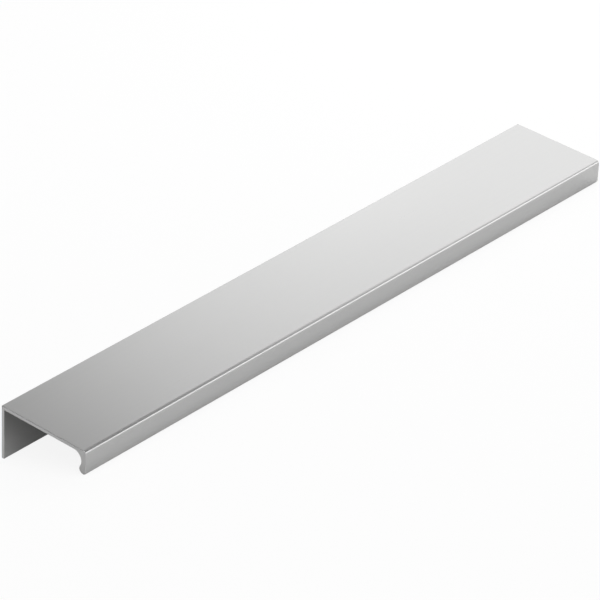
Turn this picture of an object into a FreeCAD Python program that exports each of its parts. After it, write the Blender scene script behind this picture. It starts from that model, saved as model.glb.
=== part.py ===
# Finger pull profile for a door or drawer front without a handle: one length of aluminium extrusion.
# The leg is screwed to the back of the front, the plate lies over its top edge and reaches out past
# its face, and the lip hangs down there, with a cove behind it for the fingertips and a round bead
# along its lower edge for them to pull on.
#
# While it is built, the profile runs along X, centred on the origin. The leg's outer face lies in
# the plane Y = 0, the plate's top in the plane Z = 0, and the lip is on the -Y side. Unheld, such a
# profile leans forward until its leg and its lip both touch the floor, and it is set down like that.
import FreeCAD, Part
import math
import os
from enum import IntEnum

import Sketcher

# Driving dimensions, in millimetres and degrees
SIZES = {
    "profile_length": 320.0,
    "profile_depth": 46.0,
    "plate_thickness": 1.6,
    "leg_height": 24.7,
    "leg_thickness": 1.4,
    "leg_tip_radius": 0.3,
    "lip_height": 11.1,
    "lip_thickness": 3.5,
    "bead_radius": 2.1,
    "cove_radius": 4.0,
    "front_edge_radius": 1.5,
    "back_edge_radius": 0.3,
    "inner_corner_radius": 0.3,
    "end_edge_chamfer": 0.2,
    "screw_hole_count": 2,
    "screw_row_length": 256.0,
    "screw_hole_drop": 13.5,
    "screw_hole_diameter": 4.0,
    "countersink_diameter": 6.2,
    "countersink_angle": 90.0,
}
NODE = "finger_pull_profile"
ALONG = FreeCAD.Vector(1, 0, 0)
# How far out an edge may lie and still count as one of an end face, in millimetres
ON_END_FACE = 1e-3
# The most that the ends are chamfered, as a share of the leg's tip radius
CHAMFER_SHARE = 0.75
# How far the drill goes in from the leg's outer face, counted in leg thicknesses
DRILL_COUNT = 2


class Spot(IntEnum):
    """The points of a sketch's line or arc that a constraint can hold."""

    START = 1
    END = 2
    CENTRE = 3


class Axis(IntEnum):
    """A sketch's own axes, which both start at its origin."""

    ACROSS = -1
    UP = -2


ORIGIN = (Axis.ACROSS, Spot.START)
# Which way round the section a line or an arc is drawn
ONWARD = (Spot.START, Spot.END)
BACKWARD = (Spot.END, Spot.START)


class Sizes:
    """The driving dimensions as they stand in the spreadsheet, read by name."""

    def __init__(self, sheet):
        for name in SIZES:
            setattr(self, name, float(sheet.get(name)))


def make_sheet(doc):
    """The spreadsheet of driving dimensions, with a title and an alias in each row."""
    sheet = doc.addObject("Spreadsheet::Sheet", "Sizes")
    for row, (alias, value) in enumerate(SIZES.items(), start=1):
        sheet.set(f"A{row}", alias.replace("_", " "))
        sheet.set(f"B{row}", str(value))
        sheet.setAlias(f"B{row}", alias)
    doc.recompute()
    return sheet


def add_sketch(body, name, plane_role):
    """A sketch on one of the body's own origin planes."""
    sketch = body.newObject("Sketcher::SketchObject", name)
    plane = next(item for item in body.Origin.OriginFeatures if item.Role == plane_role)
    sketch.AttachmentSupport = [(plane, "")]
    sketch.MapMode = "FlatFace"
    return sketch


def point(across, up):
    return FreeCAD.Vector(across, up, 0)


def line(sketch, start, end):
    return sketch.addGeometry(Part.LineSegment(start, end))


def arc(sketch, centre, radius, start_angle, end_angle):
    """An arc that runs anticlockwise from one angle to the other, in degrees."""
    circle = Part.Circle(centre, FreeCAD.Vector(0, 0, 1), radius)
    stretch = Part.ArcOfCircle(circle, math.radians(start_angle), math.radians(end_angle))
    return sketch.addGeometry(stretch)


def dimension(sketch, name, expression, *constraint):
    """A named dimension that follows the spreadsheet. Its drawn value is only where it starts."""
    index = sketch.addConstraint(Sketcher.Constraint(*constraint))
    sketch.renameConstraint(index, name)
    sketch.setExpression(f"Constraints.{name}", expression)


def lip_foot_radius(s):
    """The bead takes the back of the lip's lower edge, and this radius takes the rest, in front."""
    return s.lip_thickness - s.bead_radius


def lip_foot_centre(s):
    radius = lip_foot_radius(s)
    return point(radius - s.profile_depth, radius - s.lip_height)


def bead_centre(s):
    return point(lip_foot_centre(s).x, s.bead_radius - s.lip_height)


def inner_tip_centre(s):
    return point(s.leg_tip_radius - s.leg_thickness, s.leg_tip_radius - s.leg_height)


def draw_section(body, s):
    """The extruded section: fourteen lines and arcs, anticlockwise from the plate's top, all tangent."""
    sketch = add_sketch(body, "Section", "YZ_Plane")

    lip_foot_at, bead_at = lip_foot_centre(s), bead_centre(s)
    cove_up = -s.plate_thickness - s.cove_radius
    bead_to_cove = s.bead_radius + s.cove_radius
    rise = math.asin((cove_up - bead_at.y) / bead_to_cove)
    cove_at = point(bead_at.x + bead_to_cove * math.cos(rise), cove_up)
    front_at = point(s.front_edge_radius - s.profile_depth, -s.front_edge_radius)
    back_at = point(-s.back_edge_radius, -s.back_edge_radius)
    corner_at = point(
        -s.leg_thickness - s.inner_corner_radius, -s.plate_thickness - s.inner_corner_radius
    )
    inner_tip_at = inner_tip_centre(s)
    outer_tip_at = point(-s.leg_tip_radius, inner_tip_at.y)

    top = line(sketch, point(back_at.x, 0), point(front_at.x, 0))
    front_edge = arc(sketch, front_at, s.front_edge_radius, 90, 180)
    front = line(sketch, point(-s.profile_depth, front_at.y), point(-s.profile_depth, lip_foot_at.y))
    lip_foot = arc(sketch, lip_foot_at, lip_foot_radius(s), 180, 270)
    bead = arc(sketch, bead_at, s.bead_radius, 270, 360 + math.degrees(rise))
    cove = arc(sketch, cove_at, s.cove_radius, 90, 180 + math.degrees(rise))
    underside = line(
        sketch, point(cove_at.x, -s.plate_thickness), point(corner_at.x, -s.plate_thickness)
    )
    inner_corner = arc(sketch, corner_at, s.inner_corner_radius, 0, 90)
    leg_inside = line(
        sketch, point(-s.leg_thickness, corner_at.y), point(-s.leg_thickness, inner_tip_at.y)
    )
    inner_tip = arc(sketch, inner_tip_at, s.leg_tip_radius, 180, 270)
    leg_foot = line(
        sketch, point(inner_tip_at.x, -s.leg_height), point(outer_tip_at.x, -s.leg_height)
    )
    outer_tip = arc(sketch, outer_tip_at, s.leg_tip_radius, 270, 360)
    leg_outside = line(sketch, point(0, outer_tip_at.y), point(0, back_at.y))
    back_edge = arc(sketch, back_at, s.back_edge_radius, 0, 90)

    outline = [
        (top, ONWARD),
        (front_edge, ONWARD),
        (front, ONWARD),
        (lip_foot, ONWARD),
        (bead, ONWARD),
        (cove, BACKWARD),
        (underside, ONWARD),
        (inner_corner, BACKWARD),
        (leg_inside, ONWARD),
        (inner_tip, ONWARD),
        (leg_foot, ONWARD),
        (outer_tip, ONWARD),
        (leg_outside, ONWARD),
        (back_edge, ONWARD),
    ]
    for (piece, (_, last)), (following, (first, _)) in zip(outline, outline[1:] + outline[:1]):
        sketch.addConstraint(Sketcher.Constraint("Tangent", piece, last, following, first))
    for level in (top, underside, leg_foot):
        sketch.addConstraint(Sketcher.Constraint("Horizontal", level))
    for upright in (front, leg_inside, leg_outside):
        sketch.addConstraint(Sketcher.Constraint("Vertical", upright))
    sketch.addConstraint(Sketcher.Constraint("Vertical", lip_foot, Spot.CENTRE, bead, Spot.CENTRE))
    sketch.addConstraint(Sketcher.Constraint("PointOnObject", top, Spot.START, Axis.ACROSS))
    sketch.addConstraint(Sketcher.Constraint("PointOnObject", leg_outside, Spot.START, Axis.UP))

    to_origin = {
        "depth": ("profile_depth", "DistanceX", front, Spot.END, s.profile_depth),
        "plate": ("plate_thickness", "DistanceY", underside, Spot.END, s.plate_thickness),
        "leg": ("leg_thickness", "DistanceX", leg_inside, Spot.END, s.leg_thickness),
        "foot": ("leg_height", "DistanceY", leg_foot, Spot.END, s.leg_height),
        "lip": ("lip_height", "DistanceY", lip_foot, Spot.END, s.lip_height),
    }
    for name, (size, kind, piece, spot, value) in to_origin.items():
        dimension(sketch, name, f"Sizes.{size}", kind, piece, spot, *ORIGIN, value)
    radii = {
        "lip_foot": (lip_foot, "lip_thickness - Sizes.bead_radius"),
        "bead": (bead, "bead_radius"),
        "cove": (cove, "cove_radius"),
        "front_edge": (front_edge, "front_edge_radius"),
        "back_edge": (back_edge, "back_edge_radius"),
        "inner_corner": (inner_corner, "inner_corner_radius"),
        "inner_tip": (inner_tip, "leg_tip_radius"),
        "outer_tip": (outer_tip, "leg_tip_radius"),
    }
    for name, (piece, size) in radii.items():
        drawn = sketch.Geometry[piece].Radius
        dimension(sketch, name, f"Sizes.{size}", "Radius", piece, drawn)
    return sketch


def extrude(body, section):
    """The bar: the section pushed out to full length, half to each side of the origin."""
    pad = body.newObject("PartDesign::Pad", "Extrusion")
    pad.Profile = section
    pad.SideType = "Symmetric"
    pad.setExpression("Length", "Sizes.profile_length")
    return pad


def mark_first_screw(body, s):
    """The sketch of the first screw's hole, on the leg's outer face."""
    sketch = add_sketch(body, "First_screw", "XZ_Plane")
    half_row = s.screw_row_length / 2
    centre = point(-half_row, -s.screw_hole_drop)
    mark = sketch.addGeometry(
        Part.Circle(centre, FreeCAD.Vector(0, 0, 1), s.screw_hole_diameter / 2)
    )
    along = ("DistanceX", mark, Spot.CENTRE, *ORIGIN, half_row)
    drop = ("DistanceY", mark, Spot.CENTRE, *ORIGIN, s.screw_hole_drop)
    dimension(sketch, "along", "Sizes.screw_row_length / 2", *along)
    dimension(sketch, "drop", "Sizes.screw_hole_drop", *drop)
    dimension(sketch, "size", "Sizes.screw_hole_diameter", "Diameter", mark, s.screw_hole_diameter)
    body.Document.recompute()
    return sketch


def drill_screw_holes(body, s):
    """Holes in the leg for wood screws, countersunk in its outer face, in one row along X."""
    sketch = mark_first_screw(body, s)
    hole = body.newObject("PartDesign::Hole", "Screw_hole")
    hole.Profile = sketch
    hole.ThreadType = "None"
    hole.DepthType = "Dimension"
    hole.DrillPoint = "Flat"
    hole.HoleCutType = "Countersink"
    hole.HoleCutCustomValues = True
    hole.Reversed = True
    hole.setExpression("Diameter", "Sizes.screw_hole_diameter")
    hole.setExpression("Depth", f"{DRILL_COUNT} * Sizes.leg_thickness")
    hole.setExpression("HoleCutDiameter", "Sizes.countersink_diameter")
    hole.setExpression("HoleCutCountersinkAngle", "Sizes.countersink_angle")
    body.Document.recompute()

    row = body.newObject("PartDesign::LinearPattern", "Screw_row")
    row.Originals = [hole]
    row.Direction = (sketch, ["H_Axis"])
    row.setExpression("Length", "Sizes.screw_row_length")
    row.setExpression("Occurrences", "Sizes.screw_hole_count")
    body.Tip = row
    body.Document.recompute()
    return row


def ease_sawn_ends(body, base, s):
    """The burr is taken off all round both sawn ends."""
    end_x = s.profile_length / 2
    names = [
        f"Edge{number}"
        for number, edge in enumerate(base.Shape.Edges, start=1)
        if edge.BoundBox.XLength < ON_END_FACE and abs(abs(edge.BoundBox.XMin) - end_x) < ON_END_FACE
    ]
    chamfer = body.newObject("PartDesign::Chamfer", "Eased_ends")
    chamfer.Base = (base, names)
    largest = f"{CHAMFER_SHARE} * Sizes.leg_tip_radius"
    chamfer.setExpression("Size", f"min(Sizes.end_edge_chamfer; {largest})")
    return chamfer


def resting_placement(shape, s):
    """Leaning on leg and lip alike, with the middle of the footprint at the origin."""
    between = lip_foot_centre(s) - inner_tip_centre(s)
    slope = math.atan2(between.y, -between.x)
    lean = slope - math.asin((lip_foot_radius(s) - s.leg_tip_radius) / between.Length)
    turn = FreeCAD.Rotation(ALONG, math.degrees(lean))
    leaning = shape.transformed(FreeCAD.Placement(FreeCAD.Vector(), turn).toMatrix())
    box = leaning.optimalBoundingBox(False, False)
    return FreeCAD.Placement(FreeCAD.Vector(-box.Center.x, -box.Center.y, -box.ZMin), turn)


def check_and_export(doc, parts):
    """Write each part's file, once nothing in the document has failed."""
    for item in doc.Objects:
        if {"Invalid", "Error"} & set(item.State):
            raise RuntimeError(f"{item.Name} failed: {item.State}")
    for part in parts:
        if part.Shape.isNull() or not part.Shape.isValid():
            raise RuntimeError(f"{part.Label} has no valid solid")
        part.Shape.exportStep(f"parts/{part.Label}.step")


def main():
    os.makedirs("parts", exist_ok=True)
    doc = FreeCAD.newDocument("Finger_pull")
    s = Sizes(make_sheet(doc))

    body = doc.addObject("PartDesign::Body", "Profile")
    body.Label = NODE
    extrude(body, draw_section(body, s))
    doc.recompute()
    holed = drill_screw_holes(body, s)
    ease_sawn_ends(body, holed, s)
    doc.recompute()
    body.Placement = resting_placement(body.Shape, s)
    doc.recompute()

    check_and_export(doc, [body])
    box = body.Shape.optimalBoundingBox(False, False)
    lean = math.degrees(body.Placement.Rotation.Angle)
    print(f"{NODE}: {body.Shape.Volume:.1f} mm3, leaning {lean:.3f} degrees")
    print(f"box {box.XLength:.3f} x {box.YLength:.3f} x {box.ZLength:.3f} mm, lowest at {box.ZMin:.4f}")


main()
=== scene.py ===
import math

import bpy
import numpy as np
from mathutils import Matrix, Vector


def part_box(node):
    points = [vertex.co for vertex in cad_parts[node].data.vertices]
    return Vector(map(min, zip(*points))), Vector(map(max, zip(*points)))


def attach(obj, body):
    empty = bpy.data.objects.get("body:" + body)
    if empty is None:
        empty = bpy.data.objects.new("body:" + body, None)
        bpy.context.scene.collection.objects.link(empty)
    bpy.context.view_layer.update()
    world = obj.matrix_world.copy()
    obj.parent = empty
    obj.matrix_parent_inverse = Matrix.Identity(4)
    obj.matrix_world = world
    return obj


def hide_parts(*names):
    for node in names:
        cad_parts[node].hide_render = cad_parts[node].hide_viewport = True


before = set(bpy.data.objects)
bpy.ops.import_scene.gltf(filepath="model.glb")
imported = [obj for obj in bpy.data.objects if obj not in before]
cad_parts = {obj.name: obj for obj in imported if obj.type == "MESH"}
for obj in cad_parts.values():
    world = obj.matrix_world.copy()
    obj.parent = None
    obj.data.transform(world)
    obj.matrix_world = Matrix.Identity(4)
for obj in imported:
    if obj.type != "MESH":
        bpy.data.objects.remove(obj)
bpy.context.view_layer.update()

MM = 0.001
NODE = "finger_pull_profile"

# The die's section
DEPTH = 46.0 * MM
PLATE = 1.6 * MM
LEG = 1.4 * MM
LEG_HEIGHT = 24.7 * MM
LEG_TIP = 0.3 * MM
LIP_HEIGHT = 11.1 * MM
LIP = 3.5 * MM
BEAD = 2.1 * MM
LIP_FOOT = LIP - BEAD
COVE = 4.0 * MM
FRONT_EDGE = 1.5 * MM
BACK_EDGE = 0.3 * MM
INNER_CORNER = 0.3 * MM

# The countersunk screw holes in the leg: radii, and how far their rims are rounded
SCREW_ROW = 256.0 * MM
HOLE_DROP = 13.5 * MM
HOLE = 2.0 * MM
COUNTERSINK = 3.1 * MM
SINK_RIM = 0.15 * MM
HOLE_RIM = 0.08 * MM

# The rounding of the sawn ends' edges
END_EDGE = 0.2 * MM

# How finely the surfaces are divided: degrees of an arc, lengths along the flats and along the bar,
# and steps round the ends' edges and between a screw hole's rim and its square
ARC_STEP = 6.0
FLAT_STEP = 3.0 * MM
ALONG_STEP = 10.0 * MM
END_STEPS = 6
RING_STEPS = 5

# Half the side of the square of leg round each screw hole, and the stations across it
SQUARE = 5.0 * MM
SQUARE_STEPS = 16
ACROSS_SQUARE = np.linspace(-SQUARE, SQUARE, SQUARE_STEPS + 1)

# Points nearer than this are one
WELD = 1e-8

# The two finishes, by their places in the mesh's list of materials
BRUSHED, SAWN = 0, 1


def spaced(start, end, step):
    """Even numbers from start to end, at most a step apart, both ends included."""
    slack = 1e-6
    return np.linspace(start, end, max(1, math.ceil(abs(end - start) / step - slack)) + 1)


def arc(centre, radius, first, last):
    """Points on a circle from one angle to another in degrees, centre + radius * (cos, sin), with
    the same (cos, sin) as normals. A negative radius gives a hollow, with normals to its centre."""
    angle = np.radians(spaced(first, last, ARC_STEP))
    outward = np.stack([np.cos(angle), np.sin(angle)], axis=1)
    return np.array(centre) + abs(radius) * outward, outward * math.copysign(1, radius)


def flat(start, end, stops):
    """Points on a straight stretch between two others, at shares of the way given by stops. The
    normal is the way turned a quarter to the right."""
    start, end = np.array(start), np.array(end)
    way = (end - start) / np.linalg.norm(end - start)
    points = start + np.asarray(stops)[:, None] * (end - start)
    return points, np.tile([way[1], -way[0]], (len(points), 1))


def between(start, end, levels=None):
    """The inner points of a straight stretch: a flat step apart or less, or at given heights."""
    length = math.dist(start, end)
    if levels is None:
        stops = spaced(0, length, FLAT_STEP)[1:-1] / length
    else:
        stops = (levels - start[1]) / (end[1] - start[1])
    return flat(start, end, stops)


def section():
    """The section's outline, once round anticlockwise from the plate's top, as points and normals.
    Every arc meets its neighbours along their tangents, so each point has one normal. The cove's
    centre lies at the cove's radius under the plate and at bead + cove radii from the bead's. The
    bead and the cove leave out their first point, with which the arc before them ends."""
    foot = (LIP_FOOT - DEPTH, LIP_FOOT - LIP_HEIGHT)
    bead = (foot[0], BEAD - LIP_HEIGHT)
    cove_z = -PLATE - COVE
    rise = math.asin((cove_z - bead[1]) / (BEAD + COVE))
    cove = (bead[0] + (BEAD + COVE) * math.cos(rise), cove_z)
    meet = math.degrees(rise)
    front = (FRONT_EDGE - DEPTH, -FRONT_EDGE)
    back = (-BACK_EDGE, -BACK_EDGE)
    corner = (-LEG - INNER_CORNER, -PLATE - INNER_CORNER)
    inner_tip = (LEG_TIP - LEG, LEG_TIP - LEG_HEIGHT)
    outer_tip = (-LEG_TIP, inner_tip[1])
    levels = -HOLE_DROP + ACROSS_SQUARE

    stretches = [
        between((back[0], 0), (front[0], 0)),
        arc(front, FRONT_EDGE, 90, 180),
        between((-DEPTH, front[1]), (-DEPTH, foot[1])),
        arc(foot, LIP_FOOT, 180, 270),
        tuple(part[1:] for part in arc(bead, BEAD, 270, 360 + meet)),
        tuple(part[1:] for part in arc(cove, -COVE, 180 + meet, 90)),
        between((cove[0], -PLATE), (corner[0], -PLATE)),
        arc(corner, -INNER_CORNER, 90, 0),
        between((-LEG, corner[1]), (-LEG, inner_tip[1]), levels[::-1]),
        arc(inner_tip, LEG_TIP, 180, 270),
        arc(outer_tip, LEG_TIP, 270, 360),
        between((0, outer_tip[1]), (0, back[1]), levels),
        arc(back, BACK_EDGE, 0, 90),
    ]
    return tuple(np.concatenate(parts) for parts in zip(*stretches))


class Skin:
    """Patches of surface with their exact normals, joined into one closed mesh."""

    def __init__(self):
        self.points, self.normals, self.faces, self.finishes = [], [], [], []
        self.count = 0

    def _take(self, points, normals):
        first = self.count
        self.points.append(points.reshape(-1, 3))
        self.normals.append(np.broadcast_to(normals, points.shape).reshape(-1, 3))
        self.count += len(self.points[-1])
        return first

    def patch(self, points, normals, closed=False, left_out=None):
        """A grid of points [row, column], of which closed joins the last column to the first. Each
        square is wound so that its own normal agrees with the points' normals."""
        first = self._take(points, normals)
        index = first + np.arange(points.shape[0] * points.shape[1]).reshape(points.shape[:2])
        if closed:
            index = np.hstack([index, index[:, :1]])
        corners = [index[:-1, :-1], index[1:, :-1], index[1:, 1:], index[:-1, 1:]]
        squares = np.stack(corners, axis=-1)
        squares = squares[~left_out] if left_out is not None else squares.reshape(-1, 4)
        at, out = self.points[-1][squares - first], self.normals[-1][squares - first]
        facing = np.cross(at[:, 2] - at[:, 0], at[:, 3] - at[:, 1])
        inside_out = np.einsum("ij,ij->i", facing, out.sum(axis=1)) < 0
        squares[inside_out] = squares[inside_out, ::-1]
        self.faces += squares.tolist()
        self.finishes += [BRUSHED] * len(squares)

    def cap(self, rim, normal, finish):
        """One flat face inside a rim, which runs anticlockwise as seen against the normal."""
        first = self._take(rim, np.array(normal, float))
        self.faces.append(list(range(first, first + len(rim))))
        self.finishes.append(finish)

    def mesh(self, name, turn, shift):
        """Points nearer than the weld distance become one. All points p end at turn p + shift."""
        points, normals = np.concatenate(self.points), np.concatenate(self.normals)
        _, kept, where = np.unique(
            np.round(points / WELD).astype(np.int64), axis=0, return_index=True, return_inverse=True
        )
        where = where.ravel()
        corners = np.concatenate([np.array(face) for face in self.faces])
        faces = [where[face].tolist() for face in self.faces]
        made = bpy.data.meshes.new(name)
        made.from_pydata((points[kept] @ turn.T + shift).tolist(), [], faces)
        made.polygons.foreach_set("use_smooth", [True] * len(faces))
        made.polygons.foreach_set("material_index", self.finishes)
        made.normals_split_custom_set((normals[corners] @ turn.T).tolist())
        made.update()
        return made


def along_bar(reach):
    """Stations along X from one end's rounding to the other's, with even steps across each hole's
    square."""
    hole = SCREW_ROW / 2
    runs = [
        spaced(-reach, -hole - SQUARE, ALONG_STEP)[:-1],
        ACROSS_SQUARE - hole,
        spaced(SQUARE - hole, hole - SQUARE, ALONG_STEP)[1:-1],
        ACROSS_SQUARE + hole,
        spaced(hole + SQUARE, reach, ALONG_STEP)[1:],
    ]
    return np.concatenate(runs)


def add_walls(skin, outline, out, reach):
    """The outline carried along X: point (x, outline). The squares round the holes stay open."""
    stations = along_bar(reach)
    rows, columns = len(stations), len(outline)
    points = np.empty((rows, columns, 3))
    points[..., 0] = stations[:, None]
    points[..., 1:] = outline
    normals = np.zeros_like(points)
    normals[..., 1:] = out
    middle = (outline + np.roll(outline, -1, axis=0)) / 2
    on_leg = np.minimum(abs(middle[:, 0]), abs(middle[:, 0] + LEG)) < WELD
    level = on_leg & (abs(middle[:, 1] + HOLE_DROP) < SQUARE)
    station = abs(abs((stations[1:] + stations[:-1]) / 2) - SCREW_ROW / 2) < SQUARE
    skin.patch(points, normals, closed=True, left_out=station[:, None] & level)


def add_end(skin, outline, out, reach, side):
    """One sawn end. Its edge is a quarter circle of the end radius r: at angle a the outline is
    moved inward by r (1 - cos a) and outward along X by r sin a. A flat face closes it."""
    angle = np.linspace(0, math.pi / 2, END_STEPS + 1)[:, None]
    points = np.empty((END_STEPS + 1, len(outline), 3))
    points[..., 0] = side * (reach + END_EDGE * np.sin(angle))
    points[..., 1:] = outline - END_EDGE * (1 - np.cos(angle))[..., None] * out
    normals = np.empty_like(points)
    normals[..., 0] = side * np.sin(angle)
    normals[..., 1:] = np.cos(angle)[..., None] * out
    skin.patch(points, normals, closed=True)
    rim = points[-1] if side > 0 else points[-1, ::-1]
    skin.cap(rim, (side, 0, 0), SAWN)


def add_hole(skin, x):
    """One screw hole. Its wall is a profile of radius and depth turned about the hole's axis:
    rounded rim, 45 degree countersink, rounded step, bore, rounded rim. Round it, each face of the
    leg is filled by straight lines from the rim's circle to the square left open in the walls."""
    # An arc that rounds a corner starts its radius times the tangent of half the turn before it
    short = math.tan(math.radians(45 / 2))
    mouth = COUNTERSINK + SINK_RIM * short
    step = HOLE - COUNTERSINK - HOLE_RIM * short
    rims = [
        arc((mouth, -SINK_RIM), SINK_RIM, 90, 135),
        arc((HOLE + HOLE_RIM, step), HOLE_RIM, 135, 180),
        arc((HOLE + HOLE_RIM, HOLE_RIM - LEG), HOLE_RIM, 180, 270),
    ]
    profile, facing = (np.concatenate(parts) for parts in zip(*rims))

    side = ACROSS_SQUARE[:-1]
    edge = np.full_like(side, SQUARE)
    sides = ((edge, side), (-side, edge), (-edge, -side), (side, -edge))
    square = np.concatenate([np.stack(pair, axis=1) for pair in sides])
    round_it = square / np.linalg.norm(square, axis=1, keepdims=True)

    def turned(radial, upright):
        """The radial measure along x and z and the upright one along y, for every profile point and
        angle."""
        full = np.empty((len(radial), len(round_it), 3))
        full[..., 0::2] = radial[:, None, None] * round_it
        full[..., 1] = upright[:, None]
        return full

    at = np.array([x, 0, -HOLE_DROP])
    skin.patch(at + turned(*profile.T), turned(*facing.T), closed=True)
    share = np.linspace(0, 1, RING_STEPS + 1)[:, None, None]
    for radius, y, normal in ((mouth, 0, (0, 1, 0)), (HOLE + HOLE_RIM, -LEG, (0, -1, 0))):
        flat_ring = np.empty((RING_STEPS + 1, len(square), 3))
        flat_ring[..., 0::2] = (1 - share) * radius * round_it + share * square
        flat_ring[..., 1] = y
        skin.patch(at + flat_ring, np.array(normal, float), closed=True)


def lean_at_rest():
    """The slope of the floor under the leg's round tip and the lip's round foot: the slope between
    their centres, less the angle whose sine is the difference of their radii over that distance."""
    across = (DEPTH - LIP_FOOT) - (LEG - LEG_TIP)
    rise = (LEG_HEIGHT - LEG_TIP) - (LIP_HEIGHT - LIP_FOOT)
    return math.atan2(rise, across) - math.asin((LIP_FOOT - LEG_TIP) / math.hypot(across, rise))


def make_profile():
    """The whole extrusion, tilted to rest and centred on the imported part's footprint."""
    low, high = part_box(NODE)
    half = (high.x - low.x) / 2
    outline, out = section()
    reach = half - END_EDGE
    skin = Skin()
    add_walls(skin, outline, out, reach)
    for side in (-1, 1):
        add_end(skin, outline, out, reach, side)
        add_hole(skin, side * SCREW_ROW / 2)

    turn = np.array(Matrix.Rotation(lean_at_rest(), 3, "X"))
    leaning = outline @ turn[1:, 1:].T
    middle = (leaning[:, 0].min() + leaning[:, 0].max()) / 2
    centre_x, centre_y = (low.x + high.x) / 2, (low.y + high.y) / 2
    shift = np.array([centre_x, centre_y - middle, low.z - leaning[:, 1].min()])
    return skin.mesh("Finger_pull", turn, shift)


class Number:
    """The output of a node. Python's own arithmetic on a number adds the Math nodes."""

    def __init__(self, nodes, socket):
        self.nodes, self.socket = nodes, socket

    def _math(self, operation, *values):
        sockets = dict(enumerate(values))
        return self.nodes.add("ShaderNodeMath", {"operation": operation}, sockets)[0]

    def __add__(self, other):
        return self._math("ADD", self, other)

    def __sub__(self, other):
        return self._math("SUBTRACT", self, other)

    def __rsub__(self, other):
        return self._math("SUBTRACT", other, self)

    def __mul__(self, other):
        return self._math("MULTIPLY", self, other)

    __radd__ = __add__
    __rmul__ = __mul__


class Made:
    """A node that was added. Its outputs are read by name or number, ready for arithmetic."""

    def __init__(self, nodes, node):
        self.nodes, self.node = nodes, node

    def __getitem__(self, output):
        return Number(self.nodes, self.node.outputs[output])


# How many finer layers of noise lie on the first
OCTAVES = 2.0


class Nodes:
    """The node tree of a material or of the world."""

    def __init__(self, owner):
        owner.use_nodes = True
        self.tree = owner.node_tree
        self.tree.nodes.clear()

    def add(self, kind, settings=None, sockets=None):
        """A node of any type, with its settings, then the values or links of its sockets."""
        node = self.tree.nodes.new(kind)
        for name, value in (settings or {}).items():
            setattr(node, name, value)
        for name, value in (sockets or {}).items():
            if isinstance(value, Number):
                self.tree.links.new(value.socket, node.inputs[name])
            else:
                node.inputs[name].default_value = value
        return Made(self, node)

    def streaks(self, place, per_mm):
        """Noise between about -0.5 and 0.5 with so many waves to a millimetre along X, Y and Z."""
        rates = [rate / MM for rate in per_mm]
        multiply = {"operation": "MULTIPLY"}
        scaled = self.add("ShaderNodeVectorMath", multiply, {0: place, 1: rates})[0]
        noise = self.add(
            "ShaderNodeTexNoise", None, {"Vector": scaled, "Scale": 1.0, "Detail": OCTAVES}
        )[0]
        return noise - 0.5

    def shaded(self, colour, factor):
        """A fixed colour times a number that stays near 1. The colours of a Mix node are its inputs
        6 and 7 and its output 2."""
        tint = self.add("ShaderNodeCombineColor", None, {0: factor, 1: factor, 2: factor})[0]
        return self.add(
            "ShaderNodeMix",
            {"data_type": "RGBA", "blend_type": "MULTIPLY"},
            {"Factor": 1.0, 6: (*colour, 1.0), 7: tint},
        )[2]

    def metal(self, colour, roughness, height_mm):
        """Bare metal under a thin oxide film, with a relief given in millimetres."""
        relief = self.add(
            "ShaderNodeBump", None, {"Strength": 1.0, "Distance": MM, "Height": height_mm}
        )[0]
        shader = self.add(
            "ShaderNodeBsdfPrincipled",
            None,
            {"Base Color": colour, "Metallic": 1.0, "Roughness": roughness, "Normal": relief},
        )[0]
        self.add("ShaderNodeOutputMaterial", None, {"Surface": shader})


# The shade that the film gives the metal, and how rough the satin faces and the sawn ends are
STAINLESS = (0.50, 0.50, 0.498)
SATIN = 0.30
SAW_CUT = 0.42

# The marks on the drawn faces and on the ends: waves to a millimetre along X, Y and Z
BRUSHING = (0.006, 5.0, 5.0)
DIE_LINES = (0.002, 0.7, 0.7)
CLOUDS = (0.02, 0.05, 0.05)
SAW_MARKS = (0.1, 6.0, 0.25)
SAW_PASSES = (0.1, 0.9, 0.06)
GRAIN = (4.0, 4.0, 4.0)


def brushed_aluminium():
    """The drawn faces: fine brushing and faint die lines along X under a satin anodised film."""
    made = bpy.data.materials.new("brushed_anodised_aluminium")
    nodes = Nodes(made)
    place = nodes.add("ShaderNodeTexCoord")["Object"]
    brushing = nodes.streaks(place, BRUSHING)
    die_lines = nodes.streaks(place, DIE_LINES)
    clouds = nodes.streaks(place, CLOUDS)
    shade = 1.0 + 0.06 * brushing + 0.02 * die_lines + 0.02 * clouds
    roughness = SATIN + 0.08 * brushing + 0.02 * die_lines + 0.03 * clouds
    relief_mm = 0.0005 * brushing + 0.0008 * die_lines
    nodes.metal(nodes.shaded(STAINLESS, shade), roughness, relief_mm)
    return made


def sawn_aluminium():
    """The ends: the marks of a fine saw run up and down across the section, under the same film."""
    made = bpy.data.materials.new("sawn_anodised_aluminium")
    nodes = Nodes(made)
    place = nodes.add("ShaderNodeTexCoord")["Object"]
    marks = nodes.streaks(place, SAW_MARKS)
    passes = nodes.streaks(place, SAW_PASSES)
    grain = nodes.streaks(place, GRAIN)
    shade = 1.0 + 0.08 * marks + 0.06 * passes + 0.05 * grain
    roughness = SAW_CUT + 0.12 * marks + 0.05 * grain
    relief_mm = 0.001 * marks + 0.002 * passes + 0.0006 * grain
    nodes.metal(nodes.shaded(STAINLESS, shade), roughness, relief_mm)
    return made


WHITE = (1.0, 1.0, 1.0, 1.0)

# The floor: its colour, its reach to each side, and which part of what the camera and the metal see
# of it is its own light
MATT_WHITE = (0.9, 0.9, 0.9, 1.0)
FLOOR_REACH = 20.0
OWN_TO_CAMERA = 0.88
OWN_TO_METAL = 0.05


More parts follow.
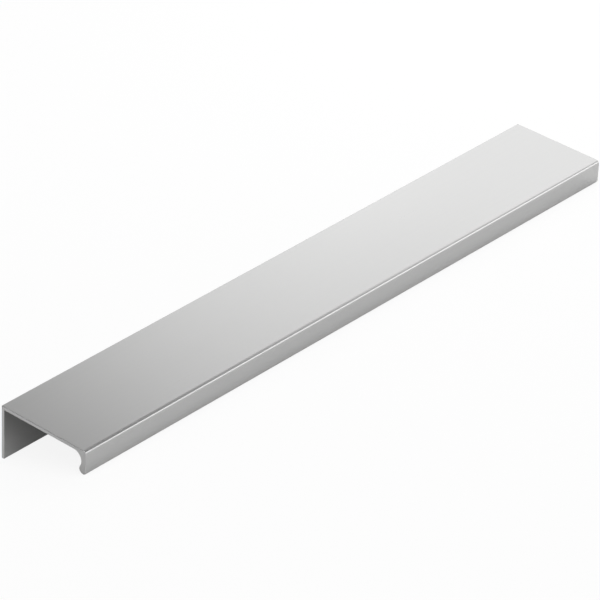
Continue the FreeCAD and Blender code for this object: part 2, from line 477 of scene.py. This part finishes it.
def white_floor():
    """A matt white floor. Part of its brightness is its own, so that the camera sees it as an even
    white and the bar's shadow on it stays soft. The metal shows mostly how it is lit."""
    made = bpy.data.materials.new("white_studio_floor")
    nodes = Nodes(made)
    ray = nodes.add("ShaderNodeLightPath")
    matt = nodes.add("ShaderNodeBsdfDiffuse", None, {"Color": MATT_WHITE})[0]
    own = nodes.add("ShaderNodeEmission", None, {"Color": WHITE, "Strength": 1.0})[0]
    mirrored = ray["Is Glossy Ray"] + ray["Is Transmission Ray"]
    share = OWN_TO_CAMERA * ray["Is Camera Ray"] + OWN_TO_METAL * mirrored
    both = nodes.add("ShaderNodeMixShader", None, {0: share, 1: matt, 2: own})[0]
    nodes.add("ShaderNodeOutputMaterial", None, {"Surface": both})
    return made


def lay_floor():
    """A flat square far larger than the view."""
    signs = ((-1, -1), (1, -1), (1, 1), (-1, 1))
    corners = [(FLOOR_REACH * x, FLOOR_REACH * y, 0) for x, y in signs]
    made = bpy.data.meshes.new("Studio_floor")
    made.from_pydata(corners, [], [(0, 1, 2, 3)])
    floor = bpy.data.objects.new("Studio_floor", made)
    made.materials.append(white_floor())
    bpy.context.scene.collection.objects.link(floor)


# The brightness of the room round the lamps
ROOM = 0.125


def light_room():
    """A dim, even, grey studio."""
    world = bpy.data.worlds.new("Studio_room")
    bpy.context.scene.world = world
    nodes = Nodes(world)
    room = nodes.add("ShaderNodeBackground", None, {"Color": WHITE, "Strength": ROOM})[0]
    nodes.add("ShaderNodeOutputWorld", None, {"Surface": room})


# Softboxes round the bar: azimuth and elevation in degrees seen from the origin, distance, width
# and height in metres, and power in watts. Azimuth 0 is behind the bar, on +Y, and 90 on +X. The
# close ones over the far end and the back grade the light along the plate.
SOFTBOXES = {
    "Key_softbox": (210, 65, 2.2, 3.0, 3.0, 48.0),
    "Far_end_softbox": (80, 37, 0.6, 0.6, 0.45, 0.705),
    "Low_far_end_softbox": (100, 30, 0.6, 0.9, 0.35, 0.6),
    "Back_softbox": (25, 30, 0.9, 1.0, 0.7, 1.73),
    "Near_end_softbox": (265, 18, 1.0, 1.0, 0.6, 1.0),
    "Front_strip": (146, 7, 1.0, 1.2, 0.3, 2.8),
}


def add_softboxes():
    """Rectangular lamps that face the origin and that the camera doesn't see."""
    for name, (azimuth, elevation, distance, width, height, power) in SOFTBOXES.items():
        lamp = bpy.data.lights.new(name, "AREA")
        lamp.shape = "RECTANGLE"
        lamp.size, lamp.size_y = width, height
        lamp.energy = power
        level = math.cos(math.radians(elevation))
        way = Vector((
            level * math.sin(math.radians(azimuth)),
            level * math.cos(math.radians(azimuth)),
            math.sin(math.radians(elevation)),
        ))
        softbox = bpy.data.objects.new(name, lamp)
        softbox.location = distance * way
        softbox.rotation_euler = way.to_track_quat("Z", "Y").to_euler()
        softbox.visible_camera = False
        bpy.context.scene.collection.objects.link(softbox)


# Where the camera stands, as it did for the photo, in metres; which way it looks, how far down, and
# its tilt about that way, in degrees; its long lens and its sensor in millimetres; and the nearest
# and farthest that it sees
CAMERA_AT = (-1.0678, -1.1175, 0.5663)
CAMERA_AZIMUTH = -43.467
CAMERA_DOWN = 19.882
CAMERA_ROLL = -11.370
LENS = 237.68
SENSOR = 36.0
NEAREST, FARTHEST = 0.1, 100.0


def set_up_camera():
    """Back is the way from the view to the camera. At azimuth 0 the camera looks along +Y, and a
    negative azimuth turns it to +X."""
    side = math.radians(CAMERA_AZIMUTH)
    down = math.radians(CAMERA_DOWN)
    level = math.cos(down)
    back = Vector((math.sin(side) * level, -math.cos(side) * level, math.sin(down)))
    right = Vector((math.cos(side), math.sin(side), 0))
    upright = Matrix((right, back.cross(right), back)).transposed()
    camera = bpy.data.cameras.new("Camera")
    camera.sensor_width = SENSOR
    camera.lens = LENS
    camera.clip_start, camera.clip_end = NEAREST, FARTHEST
    stand = bpy.data.objects.new("Camera", camera)
    turned = upright @ Matrix.Rotation(math.radians(CAMERA_ROLL), 3, "Z")
    stand.matrix_world = Matrix.Translation(CAMERA_AT) @ turned.to_4x4()
    bpy.context.scene.collection.objects.link(stand)
    bpy.context.scene.camera = stand


profile = bpy.data.objects.new("Finger_pull", make_profile())
profile.data.materials.append(brushed_aluminium())
profile.data.materials.append(sawn_aluminium())
bpy.context.scene.collection.objects.link(profile)
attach(profile, "root")
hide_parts(NODE)

lay_floor()
light_room()
add_softboxes()
set_up_camera()
bpy.context.scene.view_settings.view_transform = "Standard"
